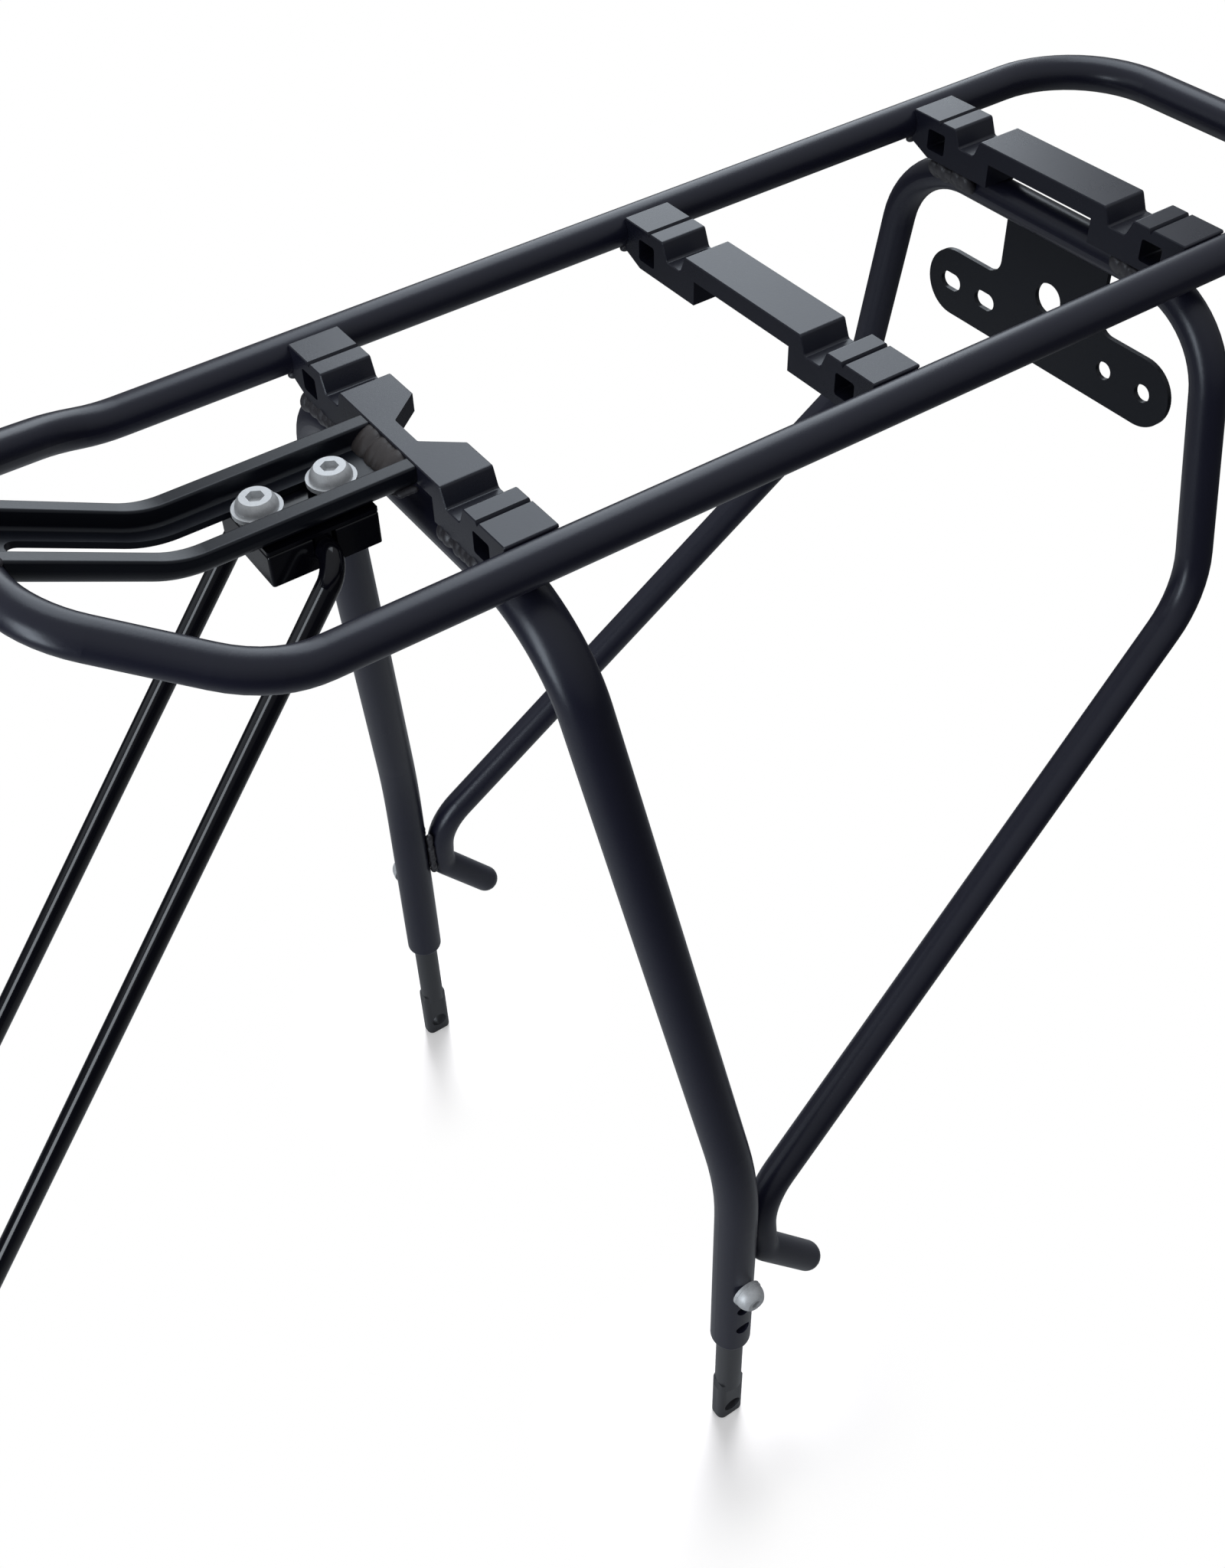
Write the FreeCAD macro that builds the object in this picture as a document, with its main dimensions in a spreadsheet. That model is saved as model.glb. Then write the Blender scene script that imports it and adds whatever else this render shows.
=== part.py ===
# Rear rack for a bicycle: a bent-rod platform on two splayed leg hoops, three
# extruded cross profiles, a slotted channel with a two-bolt clamp for the
# front stays, a drilled lamp plate, and telescopic feet.
# Millimetres. The origin is midway between the two foot eyelets; +X points
# forward to the saddle, +Y to the rider's left and +Z up.
import FreeCAD, Part
import Sketcher
import math
import os
import re
from FreeCAD import Placement, Rotation, Vector

DRIVING_SIZES = [
    # platform loop: one bent rod, flat at the sides and rear, raised at the front
    ("RodDia", 10.2),
    ("RailZ", 359.5),
    ("RailY", 55.6),
    ("RearBarX", -246.15),
    ("RearCornerR", 31.0),
    ("BowStartX", 85.85),
    ("BowShoulderX", 97.85),
    ("BowShoulderY", 53.7),
    ("BowShoulderRise", 3.5),
    ("BowShoulderR", 34.0),
    ("BowFrontX", 135.35),
    ("BowCornerY", 29.5),
    ("BowRise", 19.6),
    ("BowCornerR", 26.0),
    ("WeldGap", 0.1),
    ("RearWeldGap", 0.5),
    # cross profiles: one extrusion, cut off three times
    ("ProfileFrontX", 33.85),
    ("ProfilePitch", 104.75),
    ("ProfileLength", 14.5),
    ("ProfileTop", 4.7),
    ("ProfileDrop", 7.7),
    ("ProfileEndY", 52.2),
    ("ProfileEndDrop", 4.6),
    ("ProfileHeelY", 45.0),
    ("GrooveY", 40.6),
    ("GrooveHalf", 0.8),
    ("GrooveDepth", 1.3),
    ("RecessOuterY", 34.4),
    ("RecessInnerY", 24.3),
    ("RecessTaper", 2.1),
    ("RecessDepth", 5.1),
    ("PlateThickness", 5.3),
    ("PocketHalf", 20.0),
    ("WindowInnerY", 38.2),
    ("WindowWidth", 7.1),
    ("WindowTop", 1.15),
    ("WindowDepth", 6.25),
    ("WindowR", 0.8),
    ("ProfileEdgeR", 0.9),
    ("ProfileTipR", 0.6),
    ("SawnEdge", 0.25),
    ("NotchMouthHalf", 13.1),
    ("NotchFloorHalf", 5.4),
    ("NotchDepth", 9.3),
    # front leg hoop: a tube, bored by its wall for the feet
    ("LegDia", 13.3),
    ("LegWall", 2.05),
    ("LegY", 101.5),
    ("LegEndZ", 47.0),
    ("LegEndR", 1.9),
    ("FrontShoulderY", 60.4),
    ("FrontShoulderR", 32.0),
    ("FrontKneeZ", 139.5),
    ("FrontKneeR", 150.0),
    ("FootHoleZ", 85.6),
    ("FootHolePitch", 12.2),
    ("FootHoleCount", 3),
    ("FootHoleDia", 5.2),
    # rear leg hoop: a rod that ends in a hook behind each front leg
    ("RearHoopX", -184.6),
    ("RearShoulderY", 59.1),
    ("RearShoulderR", 29.0),
    ("RearKneeY", 74.2),
    ("RearKneeZ", 258.5),
    ("RearKneeR", 30.0),
    ("HookTopY", 97.7),
    ("HookTopZ", 114.3),
    ("HookTopR", 25.0),
    ("HookLowY", 100.5),
    ("HookLowZ", 92.0),
    ("HookLowR", 8.0),
    ("HookReach", 30.45),
    ("HookEndY", 101.5),
    ("HookEndZ", 67.7),
    # channel that carries the stay clamp
    ("ChannelHalf", 13.65),
    ("FlangeWidth", 4.85),
    ("ChannelTop", 4.3),
    ("ChannelHeight", 6.6),
    ("ChannelFloor", 1.7),
    ("ChannelCornerR", 4.0),
    ("ChannelRootR", 1.2),
    ("ChannelRimR", 0.8),
    ("ChannelKneeX", 92.85),
    ("ChannelKneeR", 24.0),
    ("ChannelRise", 26.0),
    ("FloorSetback", 5.3),
    ("ChannelEndSetback", 3.3),
    ("SlotWidth", 7.4),
    ("SlotStartX", 44.35),
    ("SlotEndX", 126.75),
    # stay clamp and its M6 bolts
    ("ClampX", 59.3),
    ("ClampBoltPitch", 19.5),
    ("ClampLength", 29.0),
    ("ClampWidth", 27.3),
    ("StayDrop", 4.5),
    ("ClampCap", 1.0),
    ("ClampRib", 4.4),
    ("ClampSplit", 0.2),
    ("ClampBlock", 8.75),
    ("ClampEdgeR", 0.8),
    ("SlideGap", 0.1),
    ("FitGap", 0.08),
    ("ClampBoltDia", 6.0),
    ("ClampBoltHole", 6.6),
    ("ClampBoltLength", 12.0),
    ("ClampHeadDia", 10.5),
    ("ClampHeadHeight", 2.9),
    ("ClampCrownDia", 7.8),
    ("ClampHex", 4.0),
    ("ClampHexDepth", 1.8),
    ("ThreadChamfer", 0.4),
    ("HeadRim", 0.5),
    ("ClampWasherDia", 12.4),
    ("ClampWasherHole", 6.4),
    ("ClampWasherThickness", 1.2),
    # stays
    ("StayDia", 6.0),
    ("StayArmGap", 1.0),
    ("StayY", 19.9),
    ("StayBendR", 6.4),
    ("StayAngle", 37.1),
    ("StaySplay", 0.97),
    ("StayLength", 350.0),
    ("StayEyeWidth", 12.0),
    ("StayEyeThickness", 3.2),
    ("StayEyeHole", 5.3),
    ("StayEyeFlat", 18.0),
    # feet and their M5 clamp bolts
    ("FootDia", 9.0),
    ("FootTipDrop", 7.6),
    ("FootFlatTop", 17.0),
    ("FootFlatTaper", 3.5),
    ("FootFlatSpread", 0.6),
    ("FootFlatThickness", 6.4),
    ("FootFlatR", 1.1),
    ("FootRimR", 2.4),
    ("FootShoulderZ", 16.0),
    ("FootShoulderR", 3.0),
    ("FootEyeDia", 6.4),
    ("KeywayWidth", 5.4),
    ("KeywayDepth", 3.1),
    ("KeywayEnd", 3.0),
    ("FootBoltDia", 5.0),
    ("FootBoltLength", 6.0),
    ("FootHeadDia", 9.5),
    ("FootHeadHeight", 4.3),
    ("FootCrownDia", 6.0),
    ("FootHex", 3.0),
    ("FootHexDepth", 2.2),
    ("FootWasherDia", 10.0),
    ("FootWasherHole", 5.3),
    ("FootWasherThickness", 1.0),
    # lamp plate
    ("LampPlateX", -187.15),
    ("LampPlateThickness", 1.5),
    ("LampStemHalf", 20.2),
    ("LampStemR", 5.0),
    ("LampWingY", 38.8),
    ("LampWingR", 10.8),
    ("LampRowDrop", 51.0),
    ("LampOuterPitch", 80.0),
    ("LampInnerPitch", 50.0),
    ("LampHoleDia", 5.6),
    ("LampSlotLength", 8.4),
    ("LampCableDia", 10.0),
    ("LampCableRise", 12.0),
]

doc = FreeCAD.newDocument("RearRack")
sheet = doc.addObject("Spreadsheet::Sheet", "Sizes")
for row, (alias, value) in enumerate(DRIVING_SIZES, start=1):
    sheet.set("A%d" % row, alias)
    sheet.set("B%d" % row, str(value))
    sheet.setAlias("B%d" % row, alias)
doc.recompute()


def size(alias):
    """A driving size, read from the sheet."""
    return float(sheet.get(alias))


def bind(target, prop, expression):
    """Bind a property to the sheet; aliases are written as in the sheet."""
    target.setExpression(prop, with_sheet(expression))


def with_sheet(expression):
    aliases = {alias for alias, value in DRIVING_SIZES}

    def full_name(match):
        word = match.group()
        return "Sizes." + word if word in aliases else word

    return re.sub(r"[A-Za-z]\w*", full_name, expression)


def worked_out(expression):
    """The number that an expression over the sheet gives."""
    result = sheet.evalExpression(with_sheet(expression))
    return float(getattr(result, "Value", result))


# Bodies and sketches.

def new_body(label, place=None):
    body = doc.addObject("PartDesign::Body", label)
    body.Label = label
    if place is not None:
        body.Placement = place
    return body


def origin_plane(body, role):
    return next(item for item in body.Origin.OriginFeatures if item.Role == role)


def new_sketch(body, name, role, offset=None):
    """A sketch on one of the body's own planes, moved along the plane's normal."""
    sketch = body.newObject("Sketcher::SketchObject", name)
    sketch.AttachmentSupport = [(origin_plane(body, role), "")]
    sketch.MapMode = "FlatFace"
    if offset is not None:
        bind(sketch, "AttachmentOffset.Base.z", offset)
    return sketch


def pin(sketch, geometry, point, across, along):
    """Hold a sketch point at two expressions, measured from the sketch's origin."""
    for kind, expression in (("DistanceX", across), ("DistanceY", along)):
        value = worked_out(expression)
        index = sketch.addConstraint(Sketcher.Constraint(kind, -1, 1, geometry, point, value))
        bind(sketch, "Constraints[%d]" % index, expression)


def polygon(sketch, corners, closed=True):
    """Straight lines through corners given as pairs of expressions."""
    values = [Vector(worked_out(across), worked_out(along), 0) for across, along in corners]
    first = sketch.GeometryCount
    count = len(corners) if closed else len(corners) - 1
    for index in range(count):
        sketch.addGeometry(Part.LineSegment(values[index], values[(index + 1) % len(values)]))
    for index in range(count if closed else count - 1):
        sketch.addConstraint(
            Sketcher.Constraint("Coincident", first + index, 2, first + (index + 1) % count, 1))
    for index, (across, along) in enumerate(corners):
        if index < count:
            pin(sketch, first + index, 1, across, along)
        else:
            pin(sketch, first + index - 1, 2, across, along)


def circle(sketch, across, along, radius):
    centre = Vector(worked_out(across), worked_out(along), 0)
    value = worked_out(radius)
    index = sketch.addGeometry(Part.Circle(centre, Vector(0, 0, 1), value))
    pin(sketch, index, 3, across, along)
    held = sketch.addConstraint(Sketcher.Constraint("Radius", index, value))
    bind(sketch, "Constraints[%d]" % held, radius)


def obround(sketch, start, end, radius):
    """A slot between two centres that lie on one horizontal line of the sketch."""
    value = worked_out(radius)
    first, last = (Vector(worked_out(a), worked_out(b), 0) for a, b in (start, end))
    up = Vector(0, value, 0)
    normal = Vector(0, 0, 1)
    quarter = math.pi / 2
    near = sketch.addGeometry(
        Part.ArcOfCircle(Part.Circle(first, normal, value), quarter, 3 * quarter))
    far = sketch.addGeometry(Part.ArcOfCircle(Part.Circle(last, normal, value), -quarter, quarter))
    low = sketch.addGeometry(Part.LineSegment(first - up, last - up))
    high = sketch.addGeometry(Part.LineSegment(last + up, first + up))
    joins = ((near, 2, low, 1), (low, 2, far, 1), (far, 2, high, 1), (high, 2, near, 1))
    for one, one_end, other, other_end in joins:
        sketch.addConstraint(Sketcher.Constraint("Tangent", one, one_end, other, other_end))
    pin(sketch, near, 3, *start)
    pin(sketch, far, 3, *end)
    held = sketch.addConstraint(Sketcher.Constraint("Radius", near, value))
    bind(sketch, "Constraints[%d]" % held, radius)


# Features.

def pad(body, sketch, length, both_sides=False, reverse=False):
    feature = body.newObject("PartDesign::Pad", sketch.Name + "Pad")
    feature.Profile = sketch
    feature.Midplane = both_sides
    feature.Reversed = reverse
    bind(feature, "Length", length)
    doc.recompute()
    return feature


def pocket(body, sketch, length, both_sides=False, reverse=False):
    """Cut a sketch out of the body and make sure that it takes something away."""
    before = body.Shape.Volume
    feature = body.newObject("PartDesign::Pocket", sketch.Name + "Pocket")
    feature.Profile = sketch
    feature.Midplane = both_sides
    feature.Reversed = reverse
    bind(feature, "Length", length)
    doc.recompute()
    if body.Shape.Volume >= before:
        raise RuntimeError("%s cuts nothing from %s" % (sketch.Name, body.Label))
    return feature


def mirrored(body, features, role):
    feature = body.newObject("PartDesign::Mirrored", body.Name + "Mirror")
    feature.Originals = features
    feature.MirrorPlane = (origin_plane(body, role), [""])
    body.Tip = feature
    doc.recompute()
    return feature


def edges_where(body, test):
    names = ["Edge%d" % (index + 1) for index, edge in enumerate(body.Shape.Edges) if test(edge)]
    if not names:
        raise RuntimeError("no edge to round on " + body.Label)
    return names


def dress(body, test, kind, prop, value):
    """Work on the edges of the body's last feature that pass a test."""
    base = body.Tip
    feature = body.newObject("PartDesign::" + kind, base.Name + kind)
    feature.Base = (base, edges_where(body, test))
    bind(feature, prop, value)
    doc.recompute()
    return feature


def fillet(body, test, radius):
    return dress(body, test, "Fillet", "Radius", radius)


def chamfer(body, test, breadth):
    return dress(body, test, "Chamfer", "Size", breadth)


def along(edge, axis):
    """Whether an edge is straight and runs along an axis."""
    if not isinstance(edge.Curve, Part.Line):
        return False
    return abs(edge.tangentAt(edge.FirstParameter).dot(axis)) > 0.999


X, Y, Z = Vector(1, 0, 0), Vector(0, 1, 0), Vector(0, 0, 1)


# Bent rods and tubes.

def bent_path(points, radii, closed=False):
    """Straight runs through 3-D points, joined by a tangent arc at each corner."""
    count = len(points)
    corners = range(count) if closed else range(1, count - 1)
    arcs = []
    for corner, radius in zip(corners, radii):
        here = points[corner]
        back = (points[corner - 1] - here).normalize()
        ahead = (points[(corner + 1) % count] - here).normalize()
        half = back.getAngle(ahead) / 2
        middle = (back + ahead).normalize()
        reach = radius / math.tan(half)
        crown = here + middle * (radius / math.sin(half) - radius)
        arcs.append((here + back * reach, crown, here + ahead * reach))
    edges = []
    last = arcs[-1][2] if closed else points[0]
    for start, crown, end in arcs:
        edges.append(Part.LineSegment(last, start).toShape())
        edges.append(Part.Arc(start, crown, end).toShape())
        last = end
    if not closed:
        edges.append(Part.LineSegment(last, points[-1]).toShape())
    return Part.Wire(edges)


def swept_rod(name, path, diameter):
    """A round rod along a wire: Part::Sweep of a circle that stands on the wire's start."""
    spine = doc.addObject("Part::Feature", name + "Path")
    spine.Shape = path
    start = path.Edges[0]
    section = doc.addObject("Part::Circle", name + "Section")
    bind(section, "Radius", "( " + diameter + " ) / 2")
    section.Placement = Placement(
        start.valueAt(start.FirstParameter),
        Rotation(Z, start.tangentAt(start.FirstParameter)))
    rod = doc.addObject("Part::Sweep", name)
    rod.Sections = [section]
    rod.Spine = (spine, ["Edge%d" % (index + 1) for index in range(len(path.Edges))])
    rod.Solid = True
    rod.Frenet = False
    return rod


def cylinder(name, diameter, length, place):
    rod = doc.addObject("Part::Cylinder", name)
    bind(rod, "Radius", diameter + " / 2")
    bind(rod, "Height", length)
    rod.Placement = place
    return rod


def cut(name, base, tool):
    result = doc.addObject("Part::Cut", name)
    result.Base = base
    result.Tool = tool
    return result


def fused(name, shapes):
    result = doc.addObject("Part::MultiFuse", name)
    result.Shapes = shapes
    return result


def mirror_y(points):
    """The points that lie off the mid-plane, seen in it, in reverse order."""
    return [Vector(point.x, -point.y, point.z) for point in reversed(points)]


# Platform loop.

def platform_loop():
    rail_z, rail_y = size("RailZ"), size("RailY")
    left = [
        Vector(size("RearBarX"), rail_y, rail_z),
        Vector(size("BowStartX"), rail_y, rail_z),
        Vector(size("BowShoulderX"), size("BowShoulderY"), rail_z + size("BowShoulderRise")),
        Vector(size("BowFrontX"), size("BowCornerY"), rail_z + size("BowRise")),
    ]
    radii = [size(alias) for alias in ("RearCornerR", "BowShoulderR", "BowShoulderR", "BowCornerR")]
    path = bent_path(left + mirror_y(left), radii + radii[::-1], closed=True)
    loop = swept_rod("PlatformRod", path, "RodDia")
    loop.Label = "platform_loop"
    return loop


# Cross profiles.

def profile_x(index):
    return size("ProfileFrontX") - index * size("ProfilePitch")


def cross_profile(label, index):
    """The extruded section, cut to length; the rails lie in a saddle at each end."""
    body = new_body(label, Placement(Vector(profile_x(index), 0, size("RailZ")), Rotation()))
    half = new_sketch(body, label + "_section", "YZ_Plane")
    recess_floor = "ProfileTop - RecessDepth"
    under_plate = "ProfileTop - PlateThickness"
    polygon(half, [
        ("0", "ProfileTop"),
        ("RecessInnerY", "ProfileTop"),
        ("RecessInnerY + RecessTaper", recess_floor),
        ("RecessOuterY - RecessTaper", recess_floor),
        ("RecessOuterY", "ProfileTop"),
        ("GrooveY - GrooveHalf", "ProfileTop"),
        ("GrooveY", "ProfileTop - GrooveDepth"),
        ("GrooveY + GrooveHalf", "ProfileTop"),
        ("ProfileEndY", "ProfileTop"),
        ("ProfileEndY", "-1 * ProfileEndDrop"),
        ("ProfileHeelY", "-1 * ProfileDrop"),
        ("PocketHalf", "-1 * ProfileDrop"),
        ("PocketHalf", under_plate),
        ("0", under_plate),
    ])
    block = pad(body, half, "ProfileLength", reverse=True)
    window = new_sketch(body, label + "_window", "YZ_Plane")
    window_bottom = "WindowTop - WindowDepth"
    window_outer = "WindowInnerY + WindowWidth"
    polygon(window, [
        ("WindowInnerY", "WindowTop"), (window_outer, "WindowTop"),
        (window_outer, window_bottom), ("WindowInnerY", window_bottom)])
    opening = pocket(body, window, "ProfileLength")
    saddle = new_sketch(body, label + "_saddle", "YZ_Plane")
    circle(saddle, "RailY", "0", "RodDia / 2 + WeldGap")
    seat = pocket(body, saddle, "ProfileLength")
    mirrored(body, [block, opening, seat], "XZ_Plane")
    round_profile(body)
    return body


def round_profile(body):
    """Round the extrusion's own corners, then break the two edges that the saw leaves on top."""
    low, top = size("WindowTop") - size("WindowDepth"), size("WindowTop")
    inner, outer = size("WindowInnerY"), size("WindowInnerY") + size("WindowWidth")

    def at_window(edge):
        spot = edge.valueAt(edge.FirstParameter) - body.Placement.Base
        beside = min(abs(abs(spot.y) - inner), abs(abs(spot.y) - outer)) < 0.01
        level = min(abs(spot.z - low), abs(spot.z - top)) < 0.01
        return along(edge, X) and beside and level

    fillet(body, at_window, "WindowR")
    corners = [
        size("RecessInnerY"), size("RecessOuterY"),
        size("RecessInnerY") + size("RecessTaper"), size("RecessOuterY") - size("RecessTaper"),
    ]

    def at_recess(edge):
        spot = edge.valueAt(edge.FirstParameter) - body.Placement.Base
        return along(edge, X) and min(abs(abs(spot.y) - corner) for corner in corners) < 0.01

    fillet(body, at_recess, "ProfileEdgeR")
    end_y, level = size("ProfileEndY"), size("ProfileTop")

    def at_end(edge):
        spot = edge.valueAt(edge.FirstParameter) - body.Placement.Base
        return along(edge, X) and abs(abs(spot.y) - end_y) < 0.01 and abs(spot.z - level) < 0.01

    fillet(body, at_end, "ProfileTipR")

    def at_sawn_top(edge):
        spot = edge.valueAt(edge.FirstParameter) - body.Placement.Base
        return along(edge, Y) and abs(spot.z - level) < 0.01

    chamfer(body, at_sawn_top, "SawnEdge")


def front_notch(body):
    """The catch notch in the rear edge of the front profile's centre plate."""
    plan = new_sketch(body, "front_notch_plan", "XY_Plane", "ProfileTop + 1")
    polygon(plan, [
        ("-1 * ProfileLength - 1", "NotchMouthHalf"),
        ("-1 * ProfileLength", "NotchMouthHalf"),
        ("NotchDepth - ProfileLength", "NotchFloorHalf"),
        ("NotchDepth - ProfileLength", "-1 * NotchFloorHalf"),
        ("-1 * ProfileLength", "-1 * NotchMouthHalf"),
        ("-1 * ProfileLength - 1", "-1 * NotchMouthHalf"),
    ])
    pocket(body, plan, "PlateThickness + 2")
    floor_x = body.Placement.Base.x + size("NotchDepth") - size("ProfileLength")

    def at_notch(edge):
        spot = edge.valueAt(edge.FirstParameter)
        return along(edge, Z) and abs(spot.x - floor_x) < 0.01

    fillet(body, at_notch, "ProfileEdgeR")


# Leg hoops.

def profile_middle_x(index):
    return profile_x(index) - size("ProfileLength") / 2


def front_hoop_points():
    """The left half of the front hoop, from the shoulder down to the leg's end."""
    under = size("RailZ") - size("ProfileDrop") - size("WeldGap") - size("LegDia") / 2
    return [
        Vector(profile_middle_x(0), size("FrontShoulderY"), under),
        Vector(0, size("LegY"), size("FrontKneeZ")),
        Vector(0, size("LegY"), size("LegEndZ")),
    ]


def front_leg_hoop():
    """A tube bent under the front profile, with the foot's bolt holes in its outer wall."""
    left = front_hoop_points()
    path = bent_path(mirror_y(left) + left, [
        size("FrontKneeR"), size("FrontShoulderR"), size("FrontShoulderR"), size("FrontKneeR")])
    outside = swept_rod("FrontHoopOutside", path, "LegDia")
    inside = swept_rod("FrontHoopInside", path, "LegDia - 2 * LegWall")
    doc.recompute()
    ends = doc.addObject("Part::Fillet", "FrontHoopRoundedEnds")
    ends.Base = outside
    bottom = size("LegEndZ")
    ends.Edges = [
        (index + 1, size("LegEndR"), size("LegEndR"))
        for index, edge in enumerate(outside.Shape.Edges)
        if abs(edge.CenterOfMass.z - bottom) < 0.5 and edge.Closed]
    holes = []
    for side, name in ((1, "Left"), (-1, "Right")):
        for number in range(int(size("FootHoleCount"))):
            height = size("FootHoleZ") - number * size("FootHolePitch")
            start = Vector(0, side * size("LegY"), height)
            holes.append(cylinder(
                "FrontHoop%sHole%d" % (name, number + 1), "FootHoleDia", "LegDia",
                Placement(start, Rotation(Z, Y * side))))
    tube = cut("FrontHoopTube", ends, inside)
    hoop = cut("FrontHoop", tube, fused("FrontHoopHoles", holes))
    hoop.Label = "front_leg_hoop"
    return hoop


def rear_leg_hoop():
    """A rod bent under the rear profile; each end runs down behind a front leg to a hook."""
    under = size("RailZ") - size("ProfileDrop") - size("RearWeldGap") - size("RodDia") / 2
    behind = -(size("LegDia") + size("RodDia")) / 2 - size("WeldGap")
    left = [
        Vector(size("RearHoopX"), size("RearShoulderY"), under),
        Vector(size("RearHoopX"), size("RearKneeY"), size("RearKneeZ")),
        Vector(behind, size("HookTopY"), size("HookTopZ")),
        Vector(behind, size("HookLowY"), size("HookLowZ")),
        Vector(-size("HookReach"), size("HookEndY"), size("HookEndZ")),
    ]
    radii = [size(alias) for alias in ("RearShoulderR", "RearKneeR", "HookTopR", "HookLowR")]
    rod = swept_rod("RearHoopRod", bent_path(mirror_y(left) + left, radii[::-1] + radii), "RodDia")
    tips = []
    for side, name in ((1, "Left"), (-1, "Right")):
        ball = doc.addObject("Part::Sphere", "RearHoop%sTip" % name)
        bind(ball, "Radius", "RodDia / 2")
        ball.Placement = Placement(Vector(left[-1].x, side * left[-1].y, left[-1].z), Rotation())
        tips.append(ball)
    hoop = fused("RearHoop", [rod] + tips)
    hoop.Label = "rear_leg_hoop"
    return hoop


# Stay channel.

def channel_bottom():
    return "ChannelTop - ChannelHeight"


def stay_channel():
    """A U section swept forward and up from the front profile to the bow."""
    body = new_body("stay_channel", Placement(Vector(0, 0, size("RailZ")), Rotation()))
    start = "ProfileFrontX + WeldGap"
    spine = new_sketch(body, "channel_spine", "XZ_Plane")
    tangent = "ChannelKneeR * tan(ChannelRise / 2 )"
    far_x = "BowFrontX"
    far_z = "ChannelTop + ( BowFrontX - ChannelKneeX ) * tan(ChannelRise )"
    channel_path(spine, start, far_x, far_z, tangent)
    section = new_sketch(body, "channel_section", "YZ_Plane", start)
    inner = "ChannelHalf - FlangeWidth"
    floor_top = "ChannelTop - ChannelHeight + ChannelFloor"
    polygon(section, [
        ("ChannelHalf", "ChannelTop"), ("ChannelHalf", channel_bottom()),
        ("-1 * ChannelHalf", channel_bottom()), ("-1 * ChannelHalf", "ChannelTop"),
        ("FlangeWidth - ChannelHalf", "ChannelTop"), ("FlangeWidth - ChannelHalf", floor_top),
        (inner, floor_top), (inner, "ChannelTop")])
    pipe = body.newObject("PartDesign::AdditivePipe", "channel_pipe")
    pipe.Profile = section
    pipe.Spine = (spine, ["Edge1", "Edge2", "Edge3"])
    doc.recompute()
    round_channel(body)
    cut_channel(body, floor_top, inner)
    return body


def channel_path(spine, start, far_x, far_z, tangent):
    """Line, arc and line in the mid-plane: level, then rising to the bow."""
    knee_x, knee_z = worked_out("ChannelKneeX"), worked_out("ChannelTop")
    rise, radius = math.radians(size("ChannelRise")), size("ChannelKneeR")
    reach = worked_out(tangent)
    arc_start = Vector(knee_x - reach, knee_z, 0)
    arc_end = Vector(knee_x + reach * math.cos(rise), knee_z + reach * math.sin(rise), 0)
    centre = arc_start + Vector(0, radius, 0)
    first = spine.addGeometry(Part.LineSegment(Vector(worked_out(start), knee_z, 0), arc_start))
    bend = spine.addGeometry(Part.ArcOfCircle(
        Part.Circle(centre, Vector(0, 0, 1), radius), -math.pi / 2, rise - math.pi / 2))
    last = spine.addGeometry(
        Part.LineSegment(arc_end, Vector(worked_out(far_x), worked_out(far_z), 0)))
    spine.addConstraint(Sketcher.Constraint("Tangent", first, 2, bend, 1))
    spine.addConstraint(Sketcher.Constraint("Tangent", bend, 2, last, 1))
    pin(spine, first, 1, start, "ChannelTop")
    pin(spine, first, 2, "ChannelKneeX - " + tangent, "ChannelTop")
    pin(spine, last, 2, far_x, far_z)
    return spine


def round_channel(body):
    """Round the two lower outer corners along the whole bent length."""
    half = size("ChannelHalf")
    level = size("RailZ") + size("ChannelTop") - size("ChannelHeight")

    def lower_corner(edge):
        spot = edge.valueAt(edge.FirstParameter)
        other = edge.valueAt(edge.LastParameter)
        outside = abs(abs(spot.y) - half) < 0.01 and abs(other.y - spot.y) < 0.01
        flat = abs(spot.z - level) < 0.01 and abs(other.z - level) < 0.01
        return outside and flat and along(edge, X)

    fillet(body, lower_corner, "ChannelCornerR")
    floor = level + size("ChannelFloor")
    inner = half - size("FlangeWidth")

    def root(edge):
        spot = edge.valueAt(edge.FirstParameter)
        return along(edge, X) and abs(abs(spot.y) - inner) < 0.01 and abs(spot.z - floor) < 0.01

    fillet(body, root, "ChannelRootR")
    rim = size("RailZ") + size("ChannelTop")

    def top_edge(edge):
        spot = edge.valueAt(edge.FirstParameter)
        return along(edge, X) and abs(spot.z - rim) < 0.01

    fillet(body, top_edge, "ChannelRimR")


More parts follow.
